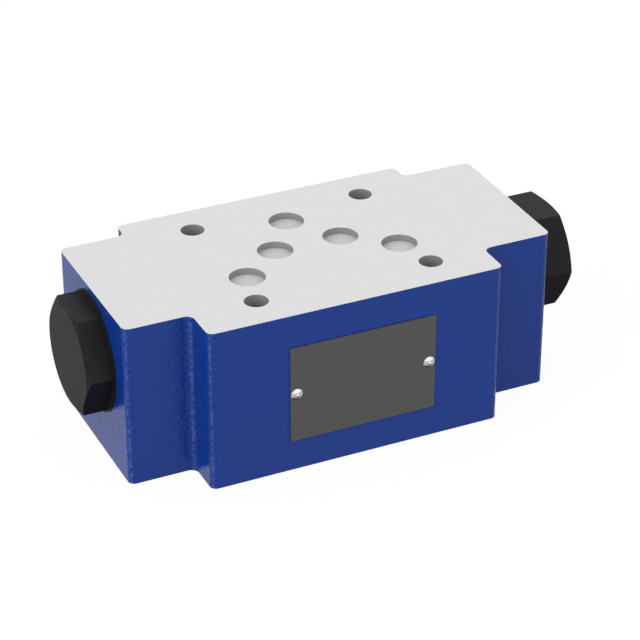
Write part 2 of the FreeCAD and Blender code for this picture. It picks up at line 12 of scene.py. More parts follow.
# %% Load the frame
import json
import math
import bpy
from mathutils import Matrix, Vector


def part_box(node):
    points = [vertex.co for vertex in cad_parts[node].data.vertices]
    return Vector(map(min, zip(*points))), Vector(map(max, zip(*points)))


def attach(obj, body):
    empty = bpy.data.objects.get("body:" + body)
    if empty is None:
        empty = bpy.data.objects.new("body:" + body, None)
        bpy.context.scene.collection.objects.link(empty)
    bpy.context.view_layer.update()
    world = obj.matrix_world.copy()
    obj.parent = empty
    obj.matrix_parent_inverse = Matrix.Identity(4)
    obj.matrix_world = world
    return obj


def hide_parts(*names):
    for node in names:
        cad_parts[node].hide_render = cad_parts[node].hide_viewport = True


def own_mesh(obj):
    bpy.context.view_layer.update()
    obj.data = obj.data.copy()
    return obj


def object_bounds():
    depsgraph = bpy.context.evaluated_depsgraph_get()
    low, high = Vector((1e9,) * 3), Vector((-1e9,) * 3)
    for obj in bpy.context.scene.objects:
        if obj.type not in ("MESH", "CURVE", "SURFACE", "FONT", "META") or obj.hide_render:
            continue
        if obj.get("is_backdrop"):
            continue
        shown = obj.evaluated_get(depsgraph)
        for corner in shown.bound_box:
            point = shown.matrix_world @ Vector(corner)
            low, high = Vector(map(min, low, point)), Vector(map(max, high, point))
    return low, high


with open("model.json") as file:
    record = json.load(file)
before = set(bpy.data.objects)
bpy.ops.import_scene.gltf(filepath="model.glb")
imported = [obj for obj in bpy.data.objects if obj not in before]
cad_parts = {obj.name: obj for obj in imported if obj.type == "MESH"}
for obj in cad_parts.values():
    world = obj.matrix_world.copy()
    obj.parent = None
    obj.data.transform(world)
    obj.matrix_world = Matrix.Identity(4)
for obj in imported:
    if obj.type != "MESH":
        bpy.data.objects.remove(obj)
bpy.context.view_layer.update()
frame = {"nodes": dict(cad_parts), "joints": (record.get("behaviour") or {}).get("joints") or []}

MM = 0.001

# %% [markdown]
# ## Colours and nodes
#
# Colours are written as the sRGB hex values that a paint card would give. Shaders work in
# linear light, so one function converts them. The patterns on the real surfaces are known in
# millimetres, and a texture's scale counts its repeats in a metre, so `per_mm` turns one into
# the other.
#
# One more function adds a node of any kind. Settings go by name, and inputs go in order or by
# name. Each input is a value, a socket to link, or a whole node, which stands for its first
# output in use. A Mix node has inputs of the same name for each kind of value, so those go by
# number.

# %% Helpers for colours and nodes
MATH, VECTOR_MATH = "ShaderNodeMath", "ShaderNodeVectorMath"
MAP_RANGE, MIX = "ShaderNodeMapRange", "ShaderNodeMix"
FACTOR, A, B, COLOUR_A, COLOUR_B = 0, 2, 3, 6, 7        # a Mix node's inputs


def paint(hex_code):
    """Linear colour of an sRGB hex value."""
    parts = [int(hex_code[i:i + 2], 16) / 255 for i in (1, 3, 5)]
    linear = [p / 12.92 if p <= 0.04045 else ((p + 0.055) / 1.055) ** 2.4 for p in parts]
    return (*linear, 1.0)


def per_mm(size):
    """Texture scale for a pattern that repeats every so many millimetres."""
    return 1 / (size * MM)


def add_node(tree, kind, inputs=(), **settings):
    """Add a node, change its settings, then fill or link its inputs."""
    node = tree.nodes.new(kind)
    for name, setting in settings.items():
        setattr(node, name, setting)
    inputs = inputs if isinstance(inputs, dict) else dict(enumerate(inputs))
    for name, given in inputs.items():
        if isinstance(given, bpy.types.Node):
            given = next(socket for socket in given.outputs if socket.enabled)
        if isinstance(given, bpy.types.NodeSocket):
            tree.links.new(given, node.inputs[name])
        else:
            node.inputs[name].default_value = given
    return node


print("middle grey in linear light:", round(paint("#808080")[0], 4))

# %% [markdown]
# Every finish of the valve ends in one Principled shader. Its colour, roughness and bump come
# from patterns on Object coordinates, which stay put on the piece. What is the same all over,
# such as the index of refraction, is a plain value on the shader's own socket.
#
# A CAD piece gets its material through its object's slots, so that its mesh stays untouched.

# %% Helpers for materials
def start_material(name):
    """An empty material and its node tree."""
    material = bpy.data.materials.new(name)
    material.use_nodes = True
    material.node_tree.nodes.clear()
    return material, material.node_tree


def dress(material, *names):
    """Give CAD nodes a material through their objects' slots."""
    for name in names:
        for slot in frame["nodes"][name].material_slots:
            slot.link = "OBJECT"
            slot.material = material
    print(material.name, "on", ", ".join(names))


# %% [markdown]
# ## The casting: blue enamel, and bare iron where the cutter went
#
# The body is one grey-iron casting. It is enamelled blue all over first. Then the top and the
# base are milled and ground flat, and the ports, bolt holes and the main bore are drilled, so
# those surfaces come out as bare metal.
#
# The mesh is a single piece with a single slot, so two materials on different faces aren't
# possible. Masks in the shader do it instead. They ask three questions of each point: does
# the face look straight up or down, is the point inside the region where the holes are, and is
# it within the main bore? Any yes gives bare metal. The spool lies on the axis of that bore, so
# the middle of its box gives the axis.
#
# Two more masks find the rounded upright edges. There the surface looks partly along X and
# partly along Y, so the product of the two is above 0, and it peaks at 0.5 along the crest.

# %% Masks of the casting
def middle(node):
    """Centre of a CAD node's box, in metres."""
    low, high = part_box(node)
    return (low + high) / 2


BORE = middle("control_spool")
BORE_REACH = 17 * MM                                        # covers the main bore and its chambers
HOLES_HALF_X, HOLES_HALF_Y = 40 * MM, 30 * MM               # cover all the ports and bolt holes
LEVEL_FROM = 0.9                                            # where 1 looks straight up or down
ROUNDED_FROM, CREST_FROM, CREST_FULL = 0.02, 0.42, 0.49     # of the product

casting, tree = start_material("enamel_on_grey_iron")
where = add_node(tree, "ShaderNodeTexCoord").outputs["Object"]
normal = add_node(tree, "ShaderNodeNewGeometry").outputs["True Normal"]
facing = add_node(tree, VECTOR_MATH, [normal], operation="ABSOLUTE")
facing = add_node(tree, "ShaderNodeSeparateXYZ", [facing]).outputs
milled = add_node(tree, MATH, [facing["Z"], LEVEL_FROM], operation="GREATER_THAN")
slanted = add_node(tree, MATH, [facing["X"], facing["Y"]], operation="MULTIPLY")
rounded = add_node(tree, MATH, [slanted, ROUNDED_FROM], operation="GREATER_THAN")
# The crest mask places the painted glint on the rounded edges.
crest = add_node(tree, MAP_RANGE, {"Value": slanted, "From Min": CREST_FROM, "From Max": CREST_FULL})

spot = add_node(tree, VECTOR_MATH, [where], operation="ABSOLUTE")
spot = add_node(tree, "ShaderNodeSeparateXYZ", [spot]).outputs
in_x = add_node(tree, MATH, [spot["X"], HOLES_HALF_X], operation="LESS_THAN")
in_y = add_node(tree, MATH, [spot["Y"], HOLES_HALF_Y], operation="LESS_THAN")
drilled = add_node(tree, MATH, [in_x, in_y], operation="MULTIPLY")

apart = add_node(tree, VECTOR_MATH, [where, (0, BORE.y, BORE.z)], operation="SUBTRACT")
across = add_node(tree, VECTOR_MATH, [apart, (0, 1, 1)], operation="MULTIPLY")
radius = add_node(tree, VECTOR_MATH, [across], operation="LENGTH")
bored = add_node(tree, MATH, [radius, BORE_REACH], operation="LESS_THAN")

bare = add_node(tree, MATH, [milled, drilled], operation="MAXIMUM")
bare = add_node(tree, MATH, [bare, bored], operation="MAXIMUM")
print("main bore's axis in mm:", round(BORE.y / MM, 2), round(BORE.z / MM, 2))

# %% [markdown]
# Enamel is a glossy film. It follows the grain of the sand that the iron was cast in, with
# bumps about a millimetre wide, so what it mirrors gets a ragged edge. Its pigment hardly
# varies. On the rounded edges the sand packs less tightly, so its grain stands out deeper.
# Along their crests a row of pale flecks is painted into the colour, a painted glint where
# those edges catch the light. Grain this fine would need millions of faces as real relief, so
# a bump is enough.
#
# Ground iron is pale grey and satin, with fine straight marks along the stroke of the wheel.
# The real marks are a few hundredths of a millimetre apart, too fine for a picture of this
# size, so they are drawn about a third of a millimetre apart and very faint. A drill tears the
# iron instead of cutting it clean, so the walls of the holes are dull and grey.
#
# All of it shares one Principled shader. The masks mix its colour, roughness and relief, and
# only the milled faces are metallic. The relief is worked out in metres, so the bump's distance
# is 1.

# %% Enamel and bare iron in one material
# The pale third blue is no paint colour: it is the painted glint on the crests of the rounded edges.
ENAMEL, ENAMEL_DEEP, ENAMEL_PAINTED_GLINT = "#0A388E", "#093589", "#8F9CDC"
GROUND_IRON, GROUND_IRON_DULL, DRILLED_IRON = "#E2E2E2", "#E0E0E0", "#929292"
SAND_GRAIN, EDGE_GRAIN, WHEEL_MARKS = 0.17 * MM, 0.5 * MM, 0.001 * MM       # how deep each is

waves = add_node(tree, "ShaderNodeTexNoise", {"Vector": where, "Scale": per_mm(1.0), "Detail": 3.0})
clouds = add_node(tree, "ShaderNodeTexNoise", {"Vector": where, "Scale": per_mm(14), "Detail": 3.0})
stroke = add_node(tree, "ShaderNodeMapping", {"Vector": where, "Scale": (0.04, 1.0, 1.0)})
lay = add_node(tree, "ShaderNodeTexNoise", {
    "Vector": stroke, "Scale": per_mm(0.35), "Detail": 3.0, "Roughness": 0.6})

enamel = add_node(tree, MIX, {
    FACTOR: clouds, COLOUR_A: paint(ENAMEL), COLOUR_B: paint(ENAMEL_DEEP)}, data_type="RGBA")
# Pale flecks along the crests of the rounded edges: a painted glint, mixed into the enamel's colour.
glint_flecks = add_node(tree, MAP_RANGE, {"Value": waves, "From Min": 0.4, "From Max": 0.62, "To Max": 0.18})
painted_glint = add_node(tree, MATH, [crest, glint_flecks], operation="MULTIPLY")
enamel_with_glints = add_node(tree, MIX, {
    FACTOR: painted_glint, COLOUR_A: enamel, COLOUR_B: paint(ENAMEL_PAINTED_GLINT)}, data_type="RGBA")
ground = add_node(tree, MIX, {
    FACTOR: lay, COLOUR_A: paint(GROUND_IRON), COLOUR_B: paint(GROUND_IRON_DULL)}, data_type="RGBA")
iron = add_node(tree, MIX, {
    FACTOR: milled, COLOUR_A: paint(DRILLED_IRON), COLOUR_B: ground}, data_type="RGBA")
colour = add_node(tree, MIX, {FACTOR: bare, COLOUR_A: enamel_with_glints, COLOUR_B: iron}, data_type="RGBA")

gloss = add_node(tree, MAP_RANGE, {"Value": clouds, "To Min": 0.02, "To Max": 0.05})
satin = add_node(tree, MAP_RANGE, {"Value": lay, "To Min": 0.42, "To Max": 0.52})
rough = add_node(tree, MIX, {FACTOR: bare, A: gloss, B: satin})
relief = add_node(tree, MIX, {FACTOR: bare, A: waves, B: lay})
grain = add_node(tree, MAP_RANGE, {"Value": rounded, "To Min": SAND_GRAIN, "To Max": EDGE_GRAIN})
depth = add_node(tree, MIX, {FACTOR: bare, A: grain, B: WHEEL_MARKS})
raised = add_node(tree, MATH, [relief, depth], operation="MULTIPLY")
bump = add_node(tree, "ShaderNodeBump", {"Height": raised, "Distance": 1.0})
shader = add_node(tree, "ShaderNodeBsdfPrincipled", {
    "Base Color": colour, "Metallic": milled, "Roughness": rough, "Normal": bump, "IOR": 1.44})
add_node(tree, "ShaderNodeOutputMaterial", {"Surface": shader})
dress(casting, "housing")

# %% [markdown]
# ## Turned and ground steels
#
# The two end plugs are turned from bar and blackened in a hot oxide bath. The bath leaves a
# thin dark skin that takes on the satin of the steel below, with faint rings round the axis
# where the lathe tool went. An anisotropic gloss could streak the light as such rings do, but it
# shows no single ring. So they are drawn on distance from the axis of the main bore, by a wave
# texture that a Mapping node centres there. The skin hides the metal, so its shader isn't
# metallic, and a low index of refraction lets it mirror only faintly.

# %% Black oxide on turned steel
WAVE_PERIOD = math.tau / 20         # of a wave texture at scale 1, in metres


def turned_steel(name, pale, dark, spacing, marks, roughness, **constants):
    """Steel with tool marks, spaced and as deep as given in mm, and roughness from low to high."""
    material, tree = start_material(name)
    where = add_node(tree, "ShaderNodeTexCoord").outputs["Object"]
    centred = add_node(tree, "ShaderNodeMapping", {"Vector": where, "Location": (0, -BORE.y, -BORE.z)})
    rings = add_node(tree, "ShaderNodeTexWave", {
        "Vector": centred, "Scale": per_mm(spacing) * WAVE_PERIOD, "Distortion": 0.6, "Detail": 2.0,
    }, wave_type="RINGS", rings_direction="X").outputs["Fac"]
    stain = add_node(tree, "ShaderNodeTexNoise", {"Vector": where, "Scale": per_mm(3), "Detail": 4.0})
    colour = add_node(tree, MIX, {
        FACTOR: stain, COLOUR_A: paint(pale), COLOUR_B: paint(dark)}, data_type="RGBA")
    rough = add_node(tree, MAP_RANGE, {"Value": stain, "To Min": roughness[0], "To Max": roughness[1]})
    bump = add_node(tree, "ShaderNodeBump", {"Height": rings, "Distance": marks * MM})
    shader = add_node(tree, "ShaderNodeBsdfPrincipled", {
        "Base Color": colour, "Roughness": rough, "Normal": bump, **constants})
    add_node(tree, "ShaderNodeOutputMaterial", {"Surface": shader})
    return material


black_oxide = turned_steel("black_oxide_on_turned_steel", "#212121", "#1E1E1E",
                           spacing=0.5, marks=0.0006, roughness=(0.4, 0.46), IOR=1.2)
dress(black_oxide, "plug_left", "plug_right")

# %% [markdown]
# Inside the valve, the sleeves, poppets and spool are hardened and ground: brighter, smoother,
# and with rings that lie closer together. The pilot balls are lapped until they mirror. They
# are made on the same kinds of machine, so the same function serves them with other numbers.

# %% Hardened steel and bearing steel inside the valve
hardened = turned_steel("ground_hardened_steel", "#C4C4C6", "#B6B6B8",
                        spacing=0.3, marks=0.0006, roughness=(0.2, 0.32), Metallic=1.0)
dress(hardened, "control_spool", "seat_sleeve_left", "seat_sleeve_right", "poppet_left", "poppet_right",
      "spring_plate_left", "spring_plate_right")
lapped = turned_steel("lapped_bearing_steel", "#D8D8DA", "#D0D0D2",
                      spacing=0.3, marks=0.0001, roughness=(0.05, 0.09), Metallic=1.0)
dress(lapped, "pilot_ball_left", "pilot_ball_right")

# %% [markdown]
# ## Name plate
#
# The plate is thin aluminium sheet, anodised dark grey. Rolling leaves straight grain along
# the sheet, which shows through as a faint brush. A noise texture that is drawn out along X
# gives that grain at any size, where a picture of it would repeat. The anodic layer scatters
# light, so the plate looks matt with a dull sheen. Some of the metal shows through the layer,
# so the shader is about a third metallic. The plate stays bare here.

# %% Anodised aluminium sheet
plate_sheet, tree = start_material("anodised_aluminium_sheet")
where = add_node(tree, "ShaderNodeTexCoord").outputs["Object"]
rolled = add_node(tree, "ShaderNodeMapping", {"Vector": where, "Scale": (0.03, 1.0, 1.0)})
grain = add_node(tree, "ShaderNodeTexNoise", {"Vector": rolled, "Scale": per_mm(0.3), "Detail": 4.0})
colour = add_node(tree, MIX, {
    FACTOR: grain, COLOUR_A: paint("#606060"), COLOUR_B: paint("#5C5C5C")}, data_type="RGBA")
rough = add_node(tree, MAP_RANGE, {"Value": grain, "To Min": 0.5, "To Max": 0.62})
bump = add_node(tree, "ShaderNodeBump", {"Height": grain, "Distance": 0.0006 * MM})
shader = add_node(tree, "ShaderNodeBsdfPrincipled", {
    "Base Color": colour, "Metallic": 0.35, "Roughness": rough, "Normal": bump, "IOR": 1.3})
add_node(tree, "ShaderNodeOutputMaterial", {"Surface": shader})
dress(plate_sheet, "name_plate")

# %% [markdown]
# ## Port plugs and seals
#
# The caps that close the ports are moulded in pale polyethylene. It is waxy, with soft edged
# highlights, and the mould leaves a fine spark texture. That texture is about a tenth of a
# millimetre wide, and is drawn three times as wide to show at all. The seals are nitrile
# rubber, nearly black and matt, with the dull bloom that moulded rubber has.
#
# Both come out of a mould, so one function makes them, from noise in two sizes: a fine one for
# the texture of the mould, and a broad one for the clouds in the colour.

# %% Moulded polyethylene and nitrile rubber
def moulded(name, pale, dark, grit, relief, roughness, **constants):
    """A moulded finish: its grit's width and relief in mm, and roughness from low to high."""
    material, tree = start_material(name)
    where = add_node(tree, "ShaderNodeTexCoord").outputs["Object"]
    spark = add_node(tree, "ShaderNodeTexNoise", {"Vector": where, "Scale": per_mm(grit), "Detail": 2.0})
    bloom = add_node(tree, "ShaderNodeTexNoise", {"Vector": where, "Scale": per_mm(4), "Detail": 2.0})
    colour = add_node(tree, MIX, {
        FACTOR: bloom, COLOUR_A: paint(pale), COLOUR_B: paint(dark)}, data_type="RGBA")
    rough = add_node(tree, MAP_RANGE, {"Value": spark, "To Min": roughness[0], "To Max": roughness[1]})
    bump = add_node(tree, "ShaderNodeBump", {"Height": spark, "Distance": relief * MM})
    shader = add_node(tree, "ShaderNodeBsdfPrincipled", {
        "Base Color": colour, "Roughness": rough, "Normal": bump, **constants})
    add_node(tree, "ShaderNodeOutputMaterial", {"Surface": shader})
    return material


PORTS = ("p", "a", "b", "t_left", "t_right")
polyethylene = moulded("moulded_polyethylene", "#D4D4D4", "#CECECE",
                       grit=0.3, relief=0.004, roughness=(0.4, 0.5), IOR=1.5)
dress(polyethylene, *[f"port_plug_{port}" for port in PORTS])
nitrile = moulded("nitrile_rubber", "#1E1E1E", "#262625",
                  grit=0.25, relief=0.006, roughness=(0.55, 0.7), IOR=1.52)
dress(nitrile, "plug_seal_left", "plug_seal_right", "sleeve_seal_left", "sleeve_seal_right")

# %% [markdown]
# ## Pieces that repeat
#
# Three small things are made with Geometry Nodes: the two rivets, the five port seals and the
# two springs. They could be modelled once and copied by hand, but a tree has its sizes as named
# inputs, so it serves all copies, and springs of other lengths too. The input object only
# carries points, one where each copy goes, read from the CAD solid that the copy stands for.
#
# At the end the tree's instances are made real and given their material, and the result is
# frozen into a plain mesh. A modifier's input is set through the identifier of its socket,
# because two inputs may share a name.

# %% Helpers for Geometry Nodes
def start_tree(name, sizes, **counts):
    """A geometry tree with points in and a mesh out. Its sizes go in as mm and come back in metres."""
    tree = bpy.data.node_groups.new(name, "GeometryNodeTree")
    tree.interface.new_socket("Points", in_out="INPUT", socket_type="NodeSocketGeometry")
    tree.interface.new_socket("Mesh", in_out="OUTPUT", socket_type="NodeSocketGeometry")
    for label, number in {**sizes, **counts}.items():
        socket = tree.interface.new_socket(label, in_out="INPUT", socket_type="NodeSocketFloat")
        socket.default_value = number
    given = add_node(tree, "NodeGroupInput").outputs
    metres = {label: add_node(tree, MATH, [given[label], MM], operation="MULTIPLY") for label in sizes}
    return tree, given, metres


def end_tree(tree, points, shape, material, turn=(0, 0, 0)):
    """Copy a shape to each point as real geometry, smooth but for sharp edges, with its material."""
    copies = add_node(tree, "GeometryNodeInstanceOnPoints", {
        "Points": points, "Instance": shape, "Rotation": turn})
    real = add_node(tree, "GeometryNodeRealizeInstances", [copies])
    smooth = add_node(tree, "GeometryNodeSetShadeSmooth", {"Geometry": real, "Shade Smooth": True})
    bend = add_node(tree, "GeometryNodeInputMeshEdgeAngle").outputs["Unsigned Angle"]
    sharp = add_node(tree, MATH, [bend, math.radians(40)], operation="GREATER_THAN")
    creased = add_node(tree, "GeometryNodeSetShadeSmooth", {
        "Geometry": smooth, "Selection": sharp, "Shade Smooth": False}, domain="EDGE")
    dressed = add_node(tree, "GeometryNodeSetMaterial", {"Geometry": creased, "Material": material})
    add_node(tree, "NodeGroupOutput", [dressed])


def grow(name, tree, points, **sizes):
    """Run a tree on points given in metres and freeze what it makes into a plain mesh."""
    seeds = bpy.data.meshes.new(name + "_points")
    seeds.from_pydata(points, [], [])
    piece = bpy.data.objects.new(name, seeds)
    bpy.context.scene.collection.objects.link(piece)
    modifier = piece.modifiers.new("grow", "NODES")
    modifier.node_group = tree
    for item in tree.interface.items_tree:
        if item.name in sizes:
            modifier[item.identifier] = float(sizes[item.name])
    evaluated = piece.evaluated_get(bpy.context.evaluated_depsgraph_get())
    piece.data = bpy.data.meshes.new_from_object(evaluated)
    piece.modifiers.clear()
    print(name, "has", len(piece.data.polygons), "faces")
    return piece


# %% [markdown]
# A drive rivet's head is part of a ball that lies on the plate, with a small button in the middle
# where the punch of the heading tool had its vent. Cutting a ball would leave a hole where the
# cut went, so the tree takes a whole ball and presses it flat from below: points under the
# plate's face are lifted onto it and drawn in to the rim of the head. Points near the axis are
# raised for the button.
#
# The ball is as large as a cap of that rim and height asks: (height² + rim²) / (2 height).

# %% Rivet's head
tree, given, size = start_tree("domed_rivets", {
    "head": 3.6, "rise": 1.2, "shank": 2.0, "depth": 5.0, "button": 0.9, "lift": 0.16})
rim = add_node(tree, MATH, [size["head"], 0.5], operation="MULTIPLY")
crown = add_node(tree, MATH, [size["rise"], size["lift"]], operation="SUBTRACT")
squares = add_node(tree, MATH, [rim, rim], operation="MULTIPLY")
squares = add_node(tree, MATH, [crown, crown, squares], operation="MULTIPLY_ADD")
double_crown = add_node(tree, MATH, [crown, 2.0], operation="MULTIPLY")
ball = add_node(tree, MATH, [squares, double_crown], operation="DIVIDE")
face = add_node(tree, MATH, [ball, crown], operation="SUBTRACT")
dome = add_node(tree, "GeometryNodeMeshUVSphere", {"Segments": 40, "Rings": 80, "Radius": ball})

spot = add_node(tree, "GeometryNodeInputPosition")
spot = add_node(tree, "ShaderNodeSeparateXYZ", [spot]).outputs
lifted = add_node(tree, MATH, [spot["Z"], face], operation="MAXIMUM")
lifted = add_node(tree, MATH, [lifted, face], operation="SUBTRACT")
level = add_node(tree, "ShaderNodeCombineXYZ", [spot["X"], spot["Y"]])
reach = add_node(tree, VECTOR_MATH, [level], operation="LENGTH")
never_zero = add_node(tree, MATH, [reach, 1e-6], operation="MAXIMUM")
draw_in = add_node(tree, MATH, [rim, never_zero], operation="DIVIDE")
draw_in = add_node(tree, MATH, [draw_in, 1.0], operation="MINIMUM")

half_button = add_node(tree, MATH, [size["button"], 0.5], operation="MULTIPLY")
outward = add_node(tree, MATH, [reach, half_button], operation="DIVIDE")
fall = add_node(tree, MATH, [outward, outward], operation="MULTIPLY")
swell = add_node(tree, MATH, [1.0, fall], operation="SUBTRACT")
swell = add_node(tree, MATH, [swell, 0.0], operation="MAXIMUM")
above = add_node(tree, MATH, [lifted, 0.0], operation="GREATER_THAN")
swell = add_node(tree, MATH, [swell, above], operation="MULTIPLY")
height = add_node(tree, MATH, [swell, size["lift"], lifted], operation="MULTIPLY_ADD")
upright = add_node(tree, "ShaderNodeCombineXYZ", {"Z": height})
pressed = add_node(tree, VECTOR_MATH, [level, draw_in, upright], operation="MULTIPLY_ADD")
head = add_node(tree, "GeometryNodeSetPosition", {"Geometry": dome, "Position": pressed})
head = add_node(tree, "GeometryNodeMergeByDistance", {"Geometry": head, "Distance": 0.004 * MM})
print("nodes in the rivet's tree so far:", len(tree.nodes))

# %% [markdown]
# The shank is driven into a hole behind the plate, out of sight, so a plain cylinder does. Head
# and shank are upright in the tree, and each copy is turned a quarter so that it looks out of
# the plate. The bright steel of the rivets is the turned steel again, polished by the tool that
# drove them in.

# %% Rivet's shank, and both rivets
shank_radius = add_node(tree, MATH, [size["shank"], 0.5], operation="MULTIPLY")
shank = add_node(tree, "GeometryNodeMeshCylinder", {
    "Vertices": 24, "Radius": shank_radius, "Depth": size["depth"]})
down = add_node(tree, MATH, [size["depth"], -0.5], operation="MULTIPLY")
drop = add_node(tree, "ShaderNodeCombineXYZ", {"Z": down})
shank = add_node(tree, "GeometryNodeTransform", {"Geometry": shank, "Translation": drop})
rivet = add_node(tree, "GeometryNodeJoinGeometry")
for part in (head, shank):
    tree.links.new(part.outputs[0], rivet.inputs[0])
bright_rivet = turned_steel("bright_rivet_steel", "#F4F4F4", "#EAEAEA",
                            spacing=0.4, marks=0.0002, roughness=(0.08, 0.14), Metallic=1.0)
end_tree(tree, given["Points"], rivet, bright_rivet, turn=(math.radians(90), 0, 0))

plate_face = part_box("name_plate")[0].y
low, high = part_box("rivet_left")
places = [(middle(node).x, plate_face, middle("rivet_left").z) for node in ("rivet_left", "rivet_right")]
rivets = grow("plate_rivets", tree, places,
              head=(high.x - low.x) / MM, rise=(plate_face - low.y) / MM, depth=(high.y - plate_face) / MM)
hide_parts("rivet_left", "rivet_right")
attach(rivets, "valve_body")

# %% [markdown]
# A port seal is a rubber ring that the bolts squeeze into its recess. Its round section turns
# into a rounded slab: flat where it is pressed, bulging where it is free. A torus would be too
# round for that. A rectangle with filleted corners, swept along a circle, has the right section,
# and it is copied into each of the five recesses.

# %% Port seals
tree, given, size = start_tree("squeezed_seals", {
    "across": 13.8, "width": 2.1, "height": 1.45, "rounding": 0.6})
path_radius = add_node(tree, MATH, [size["across"], 0.5], operation="MULTIPLY")
path = add_node(tree, "GeometryNodeCurvePrimitiveCircle", {"Resolution": 96, "Radius": path_radius})
section = add_node(tree, "GeometryNodeCurvePrimitiveQuadrilateral", {
    "Width": size["width"], "Height": size["height"]})
section = add_node(tree, "GeometryNodeFilletCurve", {
    "Curve": section, "Count": 4, "Radius": size["rounding"]}, mode="POLY")
ring = add_node(tree, "GeometryNodeCurveToMesh", {"Curve": path, "Profile Curve": section})
end_tree(tree, given["Points"], ring, nitrile)

SEAL_INSIDE = 11.6      # mm across the hole of the ring
low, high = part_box("port_seal_p")
seal_width = (high.x - low.x) / MM / 2 - SEAL_INSIDE / 2
seals = grow("port_seals", tree, [middle(f"port_seal_{port}") for port in PORTS],
             across=SEAL_INSIDE + seal_width, width=seal_width, height=(high.z - low.z) / MM)
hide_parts(*[f"port_seal_{port}" for port in PORTS])
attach(seals, "valve_body")

# %% [markdown]
# A compression spring is a wire on a helix, but its pitch isn't even. The last turn at each
# end lies against its neighbour, and its face is ground flat so that the spring stands square.
# Blender's own spiral has an even pitch, so this one is wound from a straight line.
#
# The line is as tall as there are turns, and each point's height says which turn it is on.
# Wound solid, the coil grows by one wire a turn, and the rest of its real length is shared out
# over the open turns. The wire's middle starts and ends a quarter of a wire inside the end
# planes, and what still stands past them is ground off, by moving it back to the plane.

# %% Spring's coil
STEPS = 36          # points a turn
INSET = 0.25        # of a wire, from an end plane to the wire's middle
tree, given, size = start_tree("ground_end_spring", {"length": 22.0, "coil": 9.2, "wire": 1.2},
                               turns=8.0, closed_turns=1.0, first=0.0, last=8.0)
start = add_node(tree, "ShaderNodeCombineXYZ", {"Z": given["first"]})
stop = add_node(tree, "ShaderNodeCombineXYZ", {"Z": given["last"]})
line = add_node(tree, "GeometryNodeCurvePrimitiveLine", {"Start": start, "End": stop})
count = add_node(tree, MATH, [given["last"], given["first"]], operation="SUBTRACT")
count = add_node(tree, MATH, [count, STEPS], operation="MULTIPLY")
count = add_node(tree, MATH, [count], operation="ROUND")
count = add_node(tree, MATH, [count, 1.0], operation="ADD")
line = add_node(tree, "GeometryNodeResampleCurve", {"Curve": line, "Count": count})
spot = add_node(tree, "GeometryNodeInputPosition")
done = add_node(tree, "ShaderNodeSeparateXYZ", [spot]).outputs["Z"]

solid = add_node(tree, MATH, [given["turns"], 2 * INSET], operation="ADD")
solid = add_node(tree, MATH, [solid, size["wire"]], operation="MULTIPLY")
spare = add_node(tree, MATH, [size["length"], solid], operation="SUBTRACT")
open_until = add_node(tree, MATH, [given["turns"], given["closed_turns"]], operation="SUBTRACT")
gained = add_node(tree, MAP_RANGE, {
    "Value": done, "From Min": given["closed_turns"], "From Max": open_until, "To Max": spare})
along = add_node(tree, MATH, [done, INSET], operation="ADD")
along = add_node(tree, MATH, [along, size["wire"], gained], operation="MULTIPLY_ADD")
arm = add_node(tree, MATH, [size["coil"], 0.5], operation="MULTIPLY")
unwound = add_node(tree, "ShaderNodeCombineXYZ", {"X": along, "Y": arm})
angle = add_node(tree, MATH, [done, math.tau], operation="MULTIPLY")
wound = add_node(tree, "ShaderNodeVectorRotate", {
    "Vector": unwound, "Angle": angle}, rotation_type="X_AXIS")
line = add_node(tree, "GeometryNodeSetPosition", {"Geometry": line, "Position": wound})

wire_radius = add_node(tree, MATH, [size["wire"], 0.5], operation="MULTIPLY")
wire = add_node(tree, "GeometryNodeCurvePrimitiveCircle", {"Resolution": 14, "Radius": wire_radius})
coil = add_node(tree, "GeometryNodeCurveToMesh", {
    "Curve": line, "Profile Curve": wire, "Fill Caps": True})
spot = add_node(tree, "GeometryNodeInputPosition")
spot = add_node(tree, "ShaderNodeSeparateXYZ", [spot]).outputs
between = add_node(tree, "ShaderNodeClamp", {"Value": spot["X"], "Min": 0.0, "Max": size["length"]})
flat = add_node(tree, "ShaderNodeCombineXYZ", [between, spot["Y"], spot["Z"]])
coil = add_node(tree, "GeometryNodeSetPosition", {"Geometry": coil, "Position": flat})
spring_wire = turned_steel("drawn_spring_wire", "#8E8E90", "#7C7C7E",
                           spacing=0.4, marks=0.0006, roughness=(0.25, 0.35), Metallic=1.0)
end_tree(tree, given["Points"], coil, spring_wire)
print("nodes in the spring's tree:", len(tree.nodes))

# %% [markdown]
# The spring is the one thing here that changes shape when the valve opens, and the joint that
# pushes it would squash it towards the plug. Two joints push the left spring, the poppet's and
# the ball's on top of it, and a piece follows only one. So that spring is laid in two runs that
# meet in its middle coil: the plug's half stays on the body, and the other half rides with the
# ball's plate. Each run is listed with its joint, the joint's stroke and the end that stays, but
# no run is squashed here.

# %% Springs
travel = {joint["name"]: joint["range_m"][1] for joint in frame["joints"]}
opening = travel["left_poppet_slide"]
pilot = travel["left_ball_slide"]
TURNS, MIDDLE, CUT = 8, 4, 0.001        # the left spring's runs meet at its middle turn, a hair apart
LOW_END, HIGH_END = 0, 1
RUNS = (
    # name, the solid it stands for, body, first turn, last turn,
    # joint, its stroke, the end that stays
    ("spring_right", "poppet_spring_right", "valve_body", 0, TURNS,
     "spool_slide", opening + pilot, HIGH_END),
    ("spring_left", "poppet_spring_left", "valve_body", 0, MIDDLE - CUT,
     "left_poppet_slide", opening, LOW_END),
    ("spring_left_inner", "poppet_spring_left", "left_ball", MIDDLE + CUT, TURNS,
     "left_ball_slide", pilot, HIGH_END),
)
for name, node, body, first, last, joint, stroke, kept in RUNS:
    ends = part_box(node)
    length = (ends[1].x - ends[0].x) / MM
    spring = grow(name, tree, [(ends[0].x, BORE.y, BORE.z)], length=length, first=first, last=last)
    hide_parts(node)
    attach(spring, body)
    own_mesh(spring)

